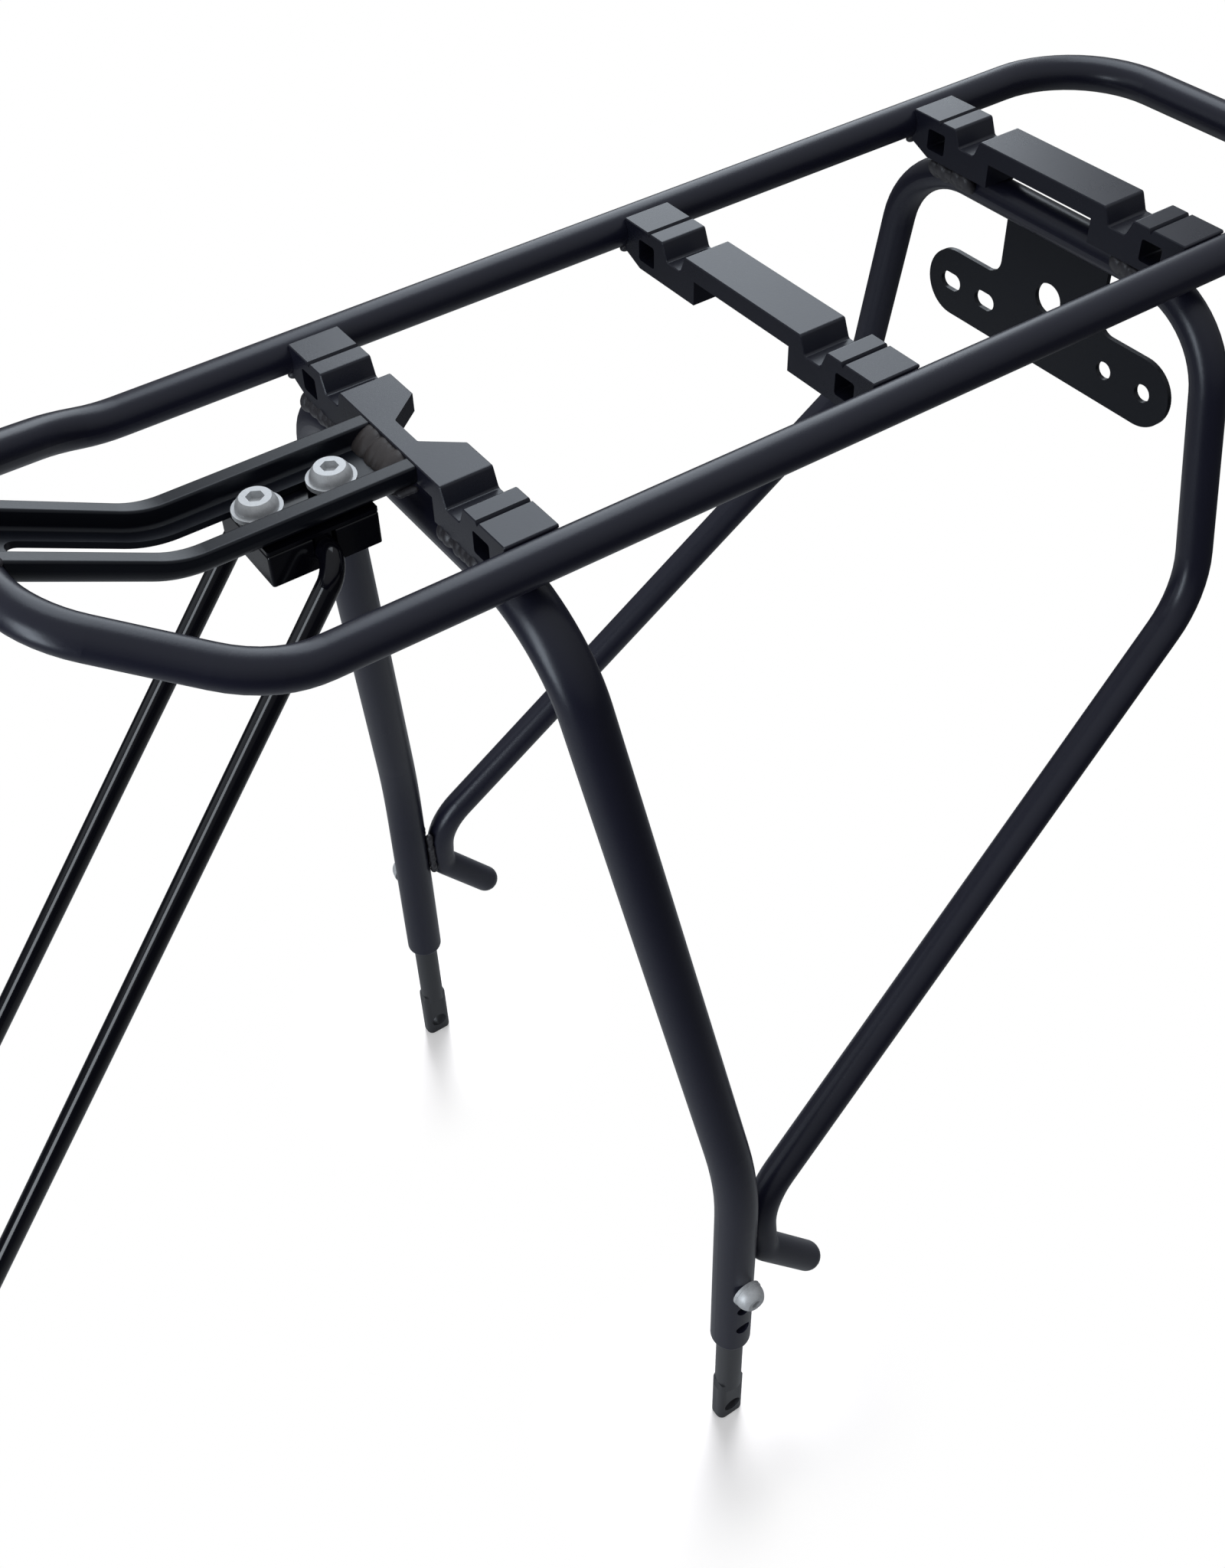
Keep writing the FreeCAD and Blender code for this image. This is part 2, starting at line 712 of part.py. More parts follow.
def cut_channel(body, floor_top, inner):
    """The long slot, the floor's set-back rear end and the saddle over the bow."""
    slot = new_sketch(body, "channel_slot", "XY_Plane", channel_bottom() + " - 1")
    obround(
        slot, ("SlotStartX + SlotWidth / 2", "0"), ("SlotEndX - SlotWidth / 2", "0"),
        "SlotWidth / 2")
    pocket(body, slot, "BowRise + ChannelHeight", reverse=True)
    back = new_sketch(body, "channel_floor_end", "XY_Plane", channel_bottom() + " - 1")
    polygon(back, [
        ("ProfileFrontX", inner), ("ProfileFrontX + FloorSetback", inner),
        ("ProfileFrontX + FloorSetback", "-1 * ( " + inner + " )"),
        ("ProfileFrontX", "-1 * ( " + inner + " )")])
    pocket(body, back, "ChannelHeight + 2", reverse=True)
    bow = new_sketch(body, "channel_bow_saddle", "XZ_Plane")
    circle(bow, "BowFrontX", "BowRise", "RodDia / 2 + WeldGap")
    pocket(body, bow, "4 * ChannelHalf", both_sides=True)
    ahead = new_sketch(body, "channel_front_end", "XZ_Plane")
    polygon(ahead, [
        ("BowFrontX - ChannelEndSetback", "BowRise - 3 * RodDia"),
        ("BowFrontX + 3 * RodDia", "BowRise - 3 * RodDia"),
        ("BowFrontX + 3 * RodDia", "BowRise + 3 * RodDia"),
        ("BowFrontX - ChannelEndSetback", "BowRise + 3 * RodDia")])
    pocket(body, ahead, "4 * ChannelHalf", both_sides=True)


# Lamp plate.

def lamp_plate():
    """A flat T of sheet, hung from the rear hoop, with two rows of lamp holes."""
    body = new_body(
        "lamp_plate",
        Placement(Vector(size("LampPlateX"), 0, size("RailZ") - size("LampRowDrop")), Rotation()))
    outline = new_sketch(body, "lamp_outline", "YZ_Plane")
    rod_middle = "LampRowDrop - ProfileDrop - RearWeldGap - RodDia / 2"
    offset = "( LampPlateX - RearHoopX )"
    under_rod = rod_middle + " - sqrt(( RodDia / 2 + WeldGap ) ^ 2 - " + offset + " ^ 2 )"
    tip = "LampWingY + LampWingR"
    polygon(outline, [
        ("LampStemHalf", under_rod), ("LampStemHalf", "LampWingR"), (tip, "LampWingR"),
        (tip, "-1 * LampWingR"), ("-1 * ( " + tip + " )", "-1 * LampWingR"),
        ("-1 * ( " + tip + " )", "LampWingR"), ("-1 * LampStemHalf", "LampWingR"),
        ("-1 * LampStemHalf", under_rod)])
    pad(body, outline, "LampPlateThickness", reverse=True)
    tip_y = worked_out(tip)

    def at_tip(edge):
        spot = edge.valueAt(edge.FirstParameter)
        return along(edge, X) and abs(abs(spot.y) - tip_y) < 0.01

    def at_stem(edge):
        spot = edge.valueAt(edge.FirstParameter) - body.Placement.Base
        inside = abs(abs(spot.y) - size("LampStemHalf")) < 0.01
        return along(edge, X) and inside and abs(spot.z - size("LampWingR")) < 0.01

    fillet(body, at_tip, "LampWingR - 0.01")
    fillet(body, at_stem, "LampStemR")
    holes = new_sketch(body, "lamp_holes", "YZ_Plane")
    for pitch in ("LampOuterPitch", "LampInnerPitch"):
        circle(holes, pitch + " / 2", "0", "LampHoleDia / 2")
        middle = "-1 * " + pitch + " / 2"
        reach = "( LampSlotLength - LampHoleDia ) / 2"
        obround(holes, (middle + " - " + reach, "0"), (middle + " + " + reach, "0"), "LampHoleDia / 2")
    circle(holes, "0", "LampCableRise", "LampCableDia / 2")
    pocket(body, holes, "LampPlateThickness")
    return body


# Fasteners, made along +Z with the head's seat at zero, then put in place.

def button_bolt(label, place, prefix):
    """A button-head socket bolt: a domed head turned with its shank, and a hexagon socket."""
    head, tall = prefix + "HeadDia", prefix + "HeadHeight"
    dia, length = prefix + "BoltDia", prefix + "BoltLength"
    body = new_body(label, place)
    turned = new_sketch(body, label + "_half", "XZ_Plane")
    crown = prefix + "CrownDia / 2"
    polygon(turned, [
        (head + " / 2", "HeadRim"), (head + " / 2", "0"), (dia + " / 2", "0"),
        (dia + " / 2", "ThreadChamfer - " + length),
        (dia + " / 2 - ThreadChamfer", "-1 * " + length),
        ("0", "-1 * " + length), ("0", tall), (crown, tall)], closed=False)
    dome(turned, head + " / 2", "HeadRim", crown, tall)
    turning = body.newObject("PartDesign::Revolution", label + "_turned")
    turning.Profile = turned
    turning.ReferenceAxis = (turned, ["V_Axis"])
    turning.Angle = 360
    doc.recompute()
    socket = new_sketch(body, label + "_socket", "XY_Plane", tall)
    across = prefix + "Hex"
    corners = []
    for number in range(6):
        corners.append((
            "%s / sqrt(3 ) * cos( %d )" % (across, 60 * number + 30),
            "%s / sqrt(3 ) * sin( %d )" % (across, 60 * number + 30)))
    polygon(socket, corners)
    pocket(body, socket, prefix + "HexDepth")
    return body


def dome(sketch, rim, rim_height, crown, crown_height):
    """Close a head's half outline with an arc, from rim to crown, centred on the turning axis."""
    start = Vector(worked_out(rim), worked_out(rim_height), 0)
    end = Vector(worked_out(crown), worked_out(crown_height), 0)
    rise = end.y - start.y
    middle = (end.x ** 2 - start.x ** 2 + rise ** 2) / (2 * rise) + start.y
    centre = Vector(0, middle, 0)
    turn = [math.atan2(point.y - middle, point.x) for point in (start, end)]
    ball = Part.Circle(centre, Vector(0, 0, 1), centre.distanceToPoint(start))
    arc = sketch.addGeometry(Part.ArcOfCircle(ball, turn[0], turn[1]))
    last = arc - 1
    sketch.addConstraint(Sketcher.Constraint("Coincident", arc, 1, 0, 1))
    sketch.addConstraint(Sketcher.Constraint("Coincident", arc, 2, last, 2))
    sketch.addConstraint(Sketcher.Constraint("PointOnObject", arc, 3, -2))


def washer(label, place, prefix):
    body = new_body(label, place)
    ring = new_sketch(body, label + "_ring", "XY_Plane")
    circle(ring, "0", "0", prefix + "WasherDia / 2")
    circle(ring, "0", "0", prefix + "WasherHole / 2")
    pad(body, ring, prefix + "WasherThickness")
    return body


# Stay clamp.

def clamp_level(expression):
    """A height on the clamp, measured down from the channel's underside."""
    return size("RailZ") + worked_out(channel_bottom()) - worked_out(expression)


def stay_axis_z():
    return clamp_level("SlideGap + ClampCap + StayDrop")


def clamp_body(label):
    return new_body(label, Placement(Vector(size("ClampX"), 0, stay_axis_z()), Rotation()))


def clamp_holes(body, name, level, depth, hole):
    """The two bolt holes, cut upwards from a level."""
    holes = new_sketch(body, name, "XY_Plane", level)
    for side in ("-1 * ", ""):
        circle(holes, side + "ClampBoltPitch / 2", "0", hole + " / 2")
    pocket(body, holes, depth, reverse=True)


def clamp_plan(body, name, level, height):
    plan = new_sketch(body, name, "XY_Plane", level)
    long, wide = "ClampLength / 2", "ClampWidth / 2"
    polygon(plan, [
        (long, wide), (long, "-1 * " + wide), ("-1 * " + long, "-1 * " + wide),
        ("-1 * " + long, wide)])
    pad(body, plan, height)
    fillet(body, lambda edge: along(edge, Z), "ClampEdgeR")


def upper_clamp_plate():
    """The cap under the channel: a thin plate with a rib that presses on the stays."""
    body = clamp_body("upper_clamp_plate")
    clamp_plan(body, "cap_plan", "StayDrop", "ClampCap")
    rib = new_sketch(body, "cap_rib", "XZ_Plane")
    half = "ClampRib / 2"
    polygon(rib, [
        (half, "StayDrop + ClampCap / 2"), ("-1 * " + half, "StayDrop + ClampCap / 2"),
        ("-1 * " + half, "StayDia / 4"), (half, "StayDia / 4")])
    pad(body, rib, "ClampWidth - 2 * ClampEdgeR", both_sides=True)
    seat = new_sketch(body, "cap_seat", "XZ_Plane")
    circle(seat, "0", "0", "StayDia / 2 + FitGap")
    pocket(body, seat, "2 * ClampWidth", both_sides=True)
    clamp_holes(body, "cap_holes", "StayDrop", "ClampCap", "ClampBoltHole")


def lower_clamp_block():
    """The block under the cap: a round-bottomed slot for the stays and two threaded holes."""
    body = clamp_body("lower_clamp_block")
    top = "( StayDrop - ClampSplit )"
    clamp_plan(body, "block_plan", top + " - ClampBlock", "ClampBlock")
    height = stay_axis_z() + worked_out(top)

    def top_rim(edge):
        spot = edge.valueAt(edge.FirstParameter)
        other = edge.valueAt(edge.LastParameter)
        return abs(spot.z - height) < 0.01 and abs(other.z - height) < 0.01

    fillet(body, top_rim, "ClampEdgeR - 0.05")
    slot = new_sketch(body, "block_slot", "XZ_Plane")
    half = "( StayDia / 2 + FitGap )"
    polygon(slot, [
        (half, "0"), (half, "2 * StayDrop"), ("-1 * " + half, "2 * StayDrop"), ("-1 * " + half, "0")])
    pocket(body, slot, "2 * ClampWidth", both_sides=True)
    bed = new_sketch(body, "block_bed", "XZ_Plane")
    circle(bed, "0", "0", half)
    pocket(body, bed, "2 * ClampWidth", both_sides=True)
    clamp_holes(
        body, "block_holes", top + " - ClampBlock", "ClampBlock", "( ClampBoltDia + FitGap )")


def clamp_fasteners():
    """The two bolts and their washers, on the channel's floor."""
    floor = size("RailZ") + worked_out("ChannelTop - ChannelHeight + ChannelFloor + SlideGap")
    for name, side in (("front", 1), ("rear", -1)):
        spot = Vector(size("ClampX") + side * size("ClampBoltPitch") / 2, 0, floor)
        seat = spot + Vector(0, 0, size("ClampWasherThickness"))
        washer("%s_clamp_washer" % name, Placement(spot, Rotation()), "Clamp")
        button_bolt("%s_clamp_bolt" % name, Placement(seat, Rotation()), "Clamp")


# Stays.

def stay(label, side):
    """An L-shaped rod: its arm lies in the clamp, its end is flattened and drilled."""
    turn = Rotation(Y, -size("StayAngle"))
    body = new_body(label, Placement(Vector(size("ClampX"), 0, stay_axis_z()), turn))
    sign = "" if side > 0 else "-1 * "
    drop = "StayLength - StayEyeFlat"
    foot_y = "( StayY + StayLength * tan(StaySplay ) )"
    flat_y = "( StayY + ( StayLength - StayEyeFlat ) * tan(StaySplay ) )"
    spine = new_sketch(body, label + "_spine", "YZ_Plane")
    stay_path(spine, side, sign, drop, flat_y)
    round_bar = new_sketch(body, label + "_section", "XZ_Plane", sign + "-1 * StayArmGap")
    circle(round_bar, "0", "0", "StayDia / 2")
    pipe = body.newObject("PartDesign::AdditivePipe", label + "_rod")
    pipe.Profile = round_bar
    pipe.Spine = (spine, ["Edge1", "Edge2", "Edge3"])
    doc.recompute()
    flat = new_sketch(body, label + "_eye", "XZ_Plane", sign + "-1 * " + foot_y)
    reach, wide = "StayLength", "StayEyeWidth / 2"
    polygon(flat, [
        ("StayDia / 2", "-1 * ( StayLength - StayEyeFlat )"), (wide, "-1 * ( StayLength - StayEyeFlat / 2 )"),
        (wide, "-1 * " + reach + " - StayEyeWidth / 2"),
        ("-1 * " + wide, "-1 * " + reach + " - StayEyeWidth / 2"),
        ("-1 * " + wide, "-1 * ( StayLength - StayEyeFlat / 2 )"),
        ("-1 * StayDia / 2", "-1 * ( StayLength - StayEyeFlat )")])
    pad(body, flat, "StayEyeThickness", both_sides=True)
    low = -size("StayLength") - size("StayEyeWidth") / 2

    def at_end(edge):
        spot = body.Placement.inverse().multVec(edge.valueAt(edge.FirstParameter))
        return along(edge, Y) and abs(spot.z - low) < 0.01

    fillet(body, at_end, "StayEyeWidth / 2 - 0.01")
    eye = new_sketch(body, label + "_hole", "XZ_Plane", sign + "-1 * " + foot_y)
    circle(eye, "0", "-1 * StayLength", "StayEyeHole / 2")
    pocket(body, eye, "2 * StayEyeThickness", both_sides=True)
    return body


def stay_path(spine, side, sign, drop, flat_y):
    """Arm, bend and leg of a stay, in the plane of the arm and the leg."""
    lean = math.radians(size("StaySplay"))
    corner = Vector(side * size("StayY"), 0, 0)
    radius = size("StayBendR")
    down = Vector(side * math.sin(lean), -math.cos(lean), 0)
    inward = Vector(-side, 0, 0)
    half = down.getAngle(inward) / 2
    reach = radius / math.tan(half)
    start, end = corner + inward * reach, corner + down * reach
    middle = (down + inward).normalize()
    crown = corner + middle * (radius / math.sin(half) - radius)
    arm = spine.addGeometry(
        Part.LineSegment(Vector(side * size("StayArmGap"), 0, 0), start))
    bend = spine.addGeometry(Part.Arc(start, crown, end))
    leg = spine.addGeometry(
        Part.LineSegment(end, Vector(side * worked_out(flat_y), -worked_out(drop), 0)))
    arm_meets = 1 if spine.getPoint(bend, 1).distanceToPoint(start) < 1e-6 else 2
    spine.addConstraint(Sketcher.Constraint("Tangent", arm, 2, bend, arm_meets))
    spine.addConstraint(Sketcher.Constraint("Tangent", bend, 3 - arm_meets, leg, 1))
    pin(spine, arm, 1, sign + "StayArmGap", "0")
    spine.addConstraint(Sketcher.Constraint("Horizontal", arm))
    pin(spine, leg, 2, sign + flat_y, "-1 * ( " + drop + " )")
    held = spine.addConstraint(Sketcher.Constraint("Radius", bend, radius))
    bind(spine, "Constraints[%d]" % held, "StayBendR")
    return spine


# Feet.

def foot_rod(label, side):
    """A rod that slides in the leg, forged flat at the eyelet, with a keyway for its bolt."""
    body = new_body(label, Placement(Vector(0, side * size("LegY"), 0), Rotation()))
    travel = "( FootHoleCount - 1 ) * FootHolePitch"
    top = "FootHoleZ + " + travel + " + FootBoltDia / 2 + KeywayEnd"
    flat = new_sketch(body, label + "_flat", "XY_Plane", "-1 * FootTipDrop")
    wide, half = "( FootDia / 2 + FootFlatSpread )", "FootFlatThickness / 2"
    polygon(flat, [
        (wide, half), ("-1 * " + wide, half),
        ("-1 * " + wide, "-1 * " + half), (wide, "-1 * " + half)])
    pad(body, flat, "FootTipDrop + FootFlatTop")
    fillet(body, lambda edge: along(edge, Z), "FootRimR")
    tip = -size("FootTipDrop")
    fillet(body, lambda edge: all(abs(vertex.Z - tip) < 0.01 for vertex in edge.Vertexes), "FootFlatR")
    for name, sign in (("_fore_taper", ""), ("_aft_taper", "-1 * ")):
        taper = new_sketch(body, label + name, "XZ_Plane")
        polygon(taper, [
            (sign + wide, "FootFlatTop - FootFlatTaper"), (sign + "FootDia / 2", "FootFlatTop"),
            (sign + "FootDia / 2", "FootFlatTop + 1"), (sign + "( %s + 1 )" % wide, "FootFlatTop + 1"),
            (sign + "( %s + 1 )" % wide, "FootFlatTop - FootFlatTaper")])
        pocket(body, taper, "2 * FootFlatThickness", both_sides=True)
    shoulder = "( FootShoulderZ - FootShoulderR )"
    bar = new_sketch(body, label + "_bar", "XY_Plane", shoulder)
    circle(bar, "0", "0", "FootDia / 2")
    pad(body, bar, top + " - " + shoulder)
    shave_foot(body, label)
    eye = new_sketch(body, label + "_eye", "XZ_Plane")
    circle(eye, "0", "0", "FootEyeDia / 2")
    pocket(body, eye, "2 * FootFlatThickness", both_sides=True)
    keyway = new_sketch(body, label + "_keyway", "YZ_Plane")
    sign = "" if side > 0 else "-1 * "
    surface, floor = sign + "( FootDia / 2 + 1 )", sign + "( FootDia / 2 - KeywayDepth )"
    low, high = "FootHoleZ - FootBoltDia / 2 - FitGap", "FootHoleZ + FootBoltDia / 2 + FitGap + " + travel
    polygon(keyway, [(surface, low), (surface, high), (floor, high), (floor, low)])
    pocket(body, keyway, "KeywayWidth", both_sides=True)
    return body


def shave_foot(body, label):
    """Take the round bar down to the paddle's thickness, with a curved shoulder."""
    shave = new_sketch(body, label + "_shave", "YZ_Plane")
    face, out = "FootFlatThickness / 2", "FootDia"
    for sign in ("", "-1 * "):
        polygon(shave, [
            (sign + face, "-1 * FootTipDrop - 1"), (sign + face, "FootShoulderZ - FootShoulderR"),
            (sign + out, "FootShoulderZ + FootShoulderR"), (sign + out, "-1 * FootTipDrop - 1")])
    pocket(body, shave, "2 * FootDia", both_sides=True)


def foot_fasteners():
    for name, side in (("left", 1), ("right", -1)):
        facing = Rotation(Z, Y * side)
        reach = size("LegY") + size("LegDia") / 2 + size("WeldGap") / 2
        spot = Vector(0, side * reach, size("FootHoleZ"))
        seat = spot + Y * side * size("FootWasherThickness")
        washer("%s_foot_washer" % name, Placement(spot, facing), "Foot")
        button_bolt("%s_foot_bolt" % name, Placement(seat, facing), "Foot")


def build():
    platform_loop()
    front = cross_profile("front_cross_profile", 0)
    front_notch(front)
    cross_profile("middle_cross_profile", 1)
    cross_profile("rear_cross_profile", 2)
    front_leg_hoop()
    rear_leg_hoop()
    stay_channel()
    lamp_plate()
    upper_clamp_plate()
    lower_clamp_block()
    clamp_fasteners()
    for name, side in (("left", 1), ("right", -1)):
        stay(name + "_stay", side)
        foot_rod(name + "_foot_rod", side)
    foot_fasteners()
    doc.recompute()


NODES = [
    "platform_loop", "front_cross_profile", "middle_cross_profile", "rear_cross_profile",
    "front_leg_hoop", "rear_leg_hoop", "stay_channel", "lamp_plate",
    "upper_clamp_plate", "lower_clamp_block",
    "front_clamp_bolt", "rear_clamp_bolt", "front_clamp_washer", "rear_clamp_washer",
    "left_stay", "right_stay", "left_foot_rod", "right_foot_rod",
    "left_foot_bolt", "right_foot_bolt", "left_foot_washer", "right_foot_washer",
]


def check_and_export():
    for item in doc.Objects:
        if "Invalid" in item.State or "Error" in item.State:
            raise RuntimeError("%s failed: %s" % (item.Label, item.State))
    os.makedirs("parts", exist_ok=True)
    for node in NODES:
        shape = doc.getObjectsByLabel(node)[0].Shape
        if shape.isNull() or not shape.isValid():
            raise RuntimeError("bad shape: " + node)
        shape.exportStep("parts/%s.step" % node)


build()
check_and_export()
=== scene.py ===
"""Rear rack for a bicycle: finishes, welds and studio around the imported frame. Units are metres.

+X points to the saddle, +Y to the rider's left, +Z up. The origin is midway between the foot eyelets.
"""
import math

import bmesh
import bpy
from mathutils import Matrix, Vector


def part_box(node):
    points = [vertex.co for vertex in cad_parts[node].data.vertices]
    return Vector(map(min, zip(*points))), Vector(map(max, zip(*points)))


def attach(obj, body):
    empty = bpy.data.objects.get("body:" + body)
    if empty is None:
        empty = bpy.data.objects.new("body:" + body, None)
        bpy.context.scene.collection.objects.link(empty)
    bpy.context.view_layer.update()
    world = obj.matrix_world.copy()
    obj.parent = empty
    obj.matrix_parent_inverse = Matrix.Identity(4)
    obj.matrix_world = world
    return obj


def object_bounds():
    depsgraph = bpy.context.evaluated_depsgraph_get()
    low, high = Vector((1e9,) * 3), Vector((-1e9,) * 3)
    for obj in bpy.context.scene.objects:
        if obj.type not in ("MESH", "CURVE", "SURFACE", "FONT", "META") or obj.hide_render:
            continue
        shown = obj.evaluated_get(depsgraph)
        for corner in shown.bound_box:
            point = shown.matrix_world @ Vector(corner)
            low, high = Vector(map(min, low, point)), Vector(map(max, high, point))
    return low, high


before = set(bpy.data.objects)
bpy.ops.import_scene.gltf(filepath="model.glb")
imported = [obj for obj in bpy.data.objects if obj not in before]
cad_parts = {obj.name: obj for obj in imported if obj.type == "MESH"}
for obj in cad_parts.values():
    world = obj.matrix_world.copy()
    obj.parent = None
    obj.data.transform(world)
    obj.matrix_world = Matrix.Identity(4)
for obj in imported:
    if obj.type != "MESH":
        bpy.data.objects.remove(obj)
CAD_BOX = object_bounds()


# Studio: a pale floor under the feet, with a painted pool of light that all but the camera sees, a white
# surround and three large soft lamps.
# The camera stands above the rider's left, in front of the rack, and looks back and down.
WHITE = (1, 1, 1, 1)
FLOOR_DROP = 0.0002
FLOOR_SIZE = 6.0
FLOOR_COLOUR = (0.78, 0.75, 0.74, 1)
FOOT_SPOT = (0.018, 0.104, 0)
WHITE_START, WHITE_FULL = 0.005, 0.062
# Painted pool of light: the floor that the rack sees is grey round the rack and darker outwards.
PAINTED_POOL_CENTRE = (0.06, -0.12, 0)
PAINTED_POOL_START, PAINTED_POOL_END = 0.18, 0.65
PAINTED_POOL_GREY, PAINTED_POOL_EDGE_GREY = 0.46, 0.08
SHEEN_COLOUR = (0.97, 0.89, 0.85, 1)
SHEEN_ROUGHNESS = 0.31
SHEEN_SHARE = 0.38
PAPER_LIFT = 0.27
SKY_COLOUR = (0.93, 0.96, 1, 1)
SKY_LOW, SKY_HIGH = -0.1, 0.9
SKY_DIM, SKY_BRIGHT = 0.20, 0.50
LAMP_TINT = (0.86, 0.93, 1.0)
CAMERA_PLACE = (0.182114, 0.317849, 0.602926)
CAMERA_RIGHT = (-0.8411, 0.5378, -0.0573)
CAMERA_DOWN = (0.4134, 0.5709, -0.7093)
CAMERA_AHEAD = (-0.3488, -0.6203, -0.7025)
CAMERA_LENS = 40.40
CAMERA_SHIFT = (0.0560, -0.0227)


class Socket:
    """One output of a shader node: operators on it add Math nodes, and node() adds any other.

    Without an output it only starts off a new tree.
    """

    def __init__(self, tree, output=None):
        self.tree = tree
        self.output = output

    def node(self, kind, settings=None, sockets=None, output=0):
        """Adds a node, with its settings first and then its sockets' values or links."""
        made = self.tree.nodes.new("ShaderNode" + kind)
        for name, value in (settings or {}).items():
            setattr(made, name, value)
        for name, value in (sockets or {}).items():
            if isinstance(value, Socket):
                self.tree.links.new(value.output, made.inputs[name])
            else:
                made.inputs[name].default_value = value
        return Socket(self.tree, made.outputs[output]) if made.outputs else None

    def maths(self, operation, first, second):
        return self.node("Math", {"operation": operation}, {0: first, 1: second})

    def __add__(self, other):
        return self.maths("ADD", self, other)

    def __sub__(self, other):
        return self.maths("SUBTRACT", self, other)

    def __rsub__(self, other):
        return self.maths("SUBTRACT", other, self)

    def __mul__(self, other):
        return self.maths("MULTIPLY", self, other)

    __radd__ = __add__
    __rmul__ = __mul__

    def mix(self, low, high):
        """A colour that goes from low to high as this socket goes from 0 to 1."""
        return self.node("Mix", {"data_type": "RGBA"}, {0: self, 6: low, 7: high}, 2)

    def ease(self, start, end, low=0.0, high=1.0):
        """A value that eases from low to high as this socket goes from start to end."""
        return self.node("MapRange", {"interpolation_type": "SMOOTHSTEP"}, {
            "Value": self, "From Min": start, "From Max": end, "To Min": low, "To Max": high})


def new_material(name):
    """An empty material, and its Object coordinates as a Socket."""
    material = bpy.data.materials.new(name)
    material.use_nodes = True
    material.node_tree.nodes.clear()
    return material, Socket(material.node_tree).node("TexCoord", output="Object")


def floor_material():
    """Pale and faintly glossy by the feet, and as white as the surround a few centimetres away.

    All but the camera sees a painted pool of light instead: grey round the rack, which fades darker
    outwards.
    """
    material, place = new_material("studio_floor")
    to_camera = place.node("LightPath", output="Is Camera Ray")
    folded = place.node("VectorMath", {"operation": "ABSOLUTE"}, {0: place})
    from_foot = place.node("VectorMath", {"operation": "DISTANCE"}, {0: folded, 1: FOOT_SPOT}, "Value")
    from_painted_pool = place.node("VectorMath", {"operation": "DISTANCE"}, {0: place, 1: PAINTED_POOL_CENTRE}, "Value")
    # Painted pool of light: what all but the camera sees of the floor, grey near the rack and darker
    # outwards.
    painted_light_pool = from_painted_pool.ease(PAINTED_POOL_START, PAINTED_POOL_END, PAINTED_POOL_GREY, PAINTED_POOL_EDGE_GREY)
    paper = place.node("BsdfDiffuse", sockets={"Color": to_camera.mix(painted_light_pool, FLOOR_COLOUR)})
    sheen = place.node("BsdfGlossy", sockets={"Color": SHEEN_COLOUR, "Roughness": SHEEN_ROUGHNESS})
    sheet = place.node("MixShader", sockets={0: to_camera * SHEEN_SHARE, 1: paper, 2: sheen})
    lift = place.node("Emission", sockets={"Color": WHITE, "Strength": to_camera * PAPER_LIFT})
    lit = place.node("AddShader", sockets={0: sheet, 1: lift})
    white = place.node("Emission", sockets={"Color": WHITE, "Strength": 1.0})
    whitened = from_foot.ease(WHITE_START, WHITE_FULL) * to_camera
    surface = place.node("MixShader", sockets={0: whitened, 1: lit, 2: white})
    place.node("OutputMaterial", sockets={"Surface": surface})
    return material


shape = bmesh.new()
bmesh.ops.create_grid(shape, x_segments=1, y_segments=1, size=FLOOR_SIZE / 2)
bmesh.ops.translate(shape, verts=shape.verts, vec=(0, 0, CAD_BOX[0].z - FLOOR_DROP))
floor = bpy.data.objects.new("studio_floor", bpy.data.meshes.new("studio_floor"))
shape.to_mesh(floor.data)
shape.free()
floor.data.materials.append(floor_material())
bpy.context.collection.objects.link(floor)

world = bpy.data.worlds.new("studio_world")
world.use_nodes = True
world.node_tree.nodes.clear()
bpy.context.scene.world = world
direction = Socket(world.node_tree).node("TexCoord", output="Generated")
height = direction.node("SeparateXYZ", sockets={0: direction}, output="Z")
sky = direction.node("Background", sockets={
    "Color": SKY_COLOUR, "Strength": height.ease(SKY_LOW, SKY_HIGH, SKY_DIM, SKY_BRIGHT)})
backdrop = direction.node("Background", sockets={"Color": WHITE, "Strength": 1.0})
to_camera = direction.node("LightPath", output="Is Camera Ray")
surround = direction.node("MixShader", sockets={0: to_camera, 1: sky, 2: backdrop})
direction.node("OutputWorld", sockets={"Surface": surround})


def soft_lamp(name, place, target, size, power):
    """A large soft lamp that faces its target, with the second of its two sizes upright."""
    light = bpy.data.lights.new(name, "AREA")
    light.shape = "RECTANGLE"
    light.size, light.size_y = size
    light.energy = power
    light.color = LAMP_TINT
    upright = Vector((0, 0, 1))
    back = (Vector(place) - Vector(target)).normalized()
    along = upright - upright.dot(back) * back
    across = along.cross(back)
    axes = Matrix((across.normalized(), along.normalized(), back)).transposed()
    lamp = bpy.data.objects.new(name, light)
    lamp.location = place
    lamp.rotation_mode = "QUATERNION"
    lamp.rotation_quaternion = axes.to_quaternion()
    lamp.visible_camera = False
    bpy.context.collection.objects.link(lamp)


soft_lamp(
    "overhead_lamp", place=(-0.78, -1.03, 1.45), target=(-0.08, 0.02, 0.2), size=(0.92, 2.4), power=16.6)
soft_lamp(
    "side_lamp", place=(1.5, -0.6, 0.8), target=(0, 0, 0.25), size=(1.0, 1.0), power=1.5)
soft_lamp(
    "saddle_side_lamp", place=(0.82, 0.18, 0.32), target=(0.18, 0.02, 0.32), size=(0.27, 0.62), power=3.1)

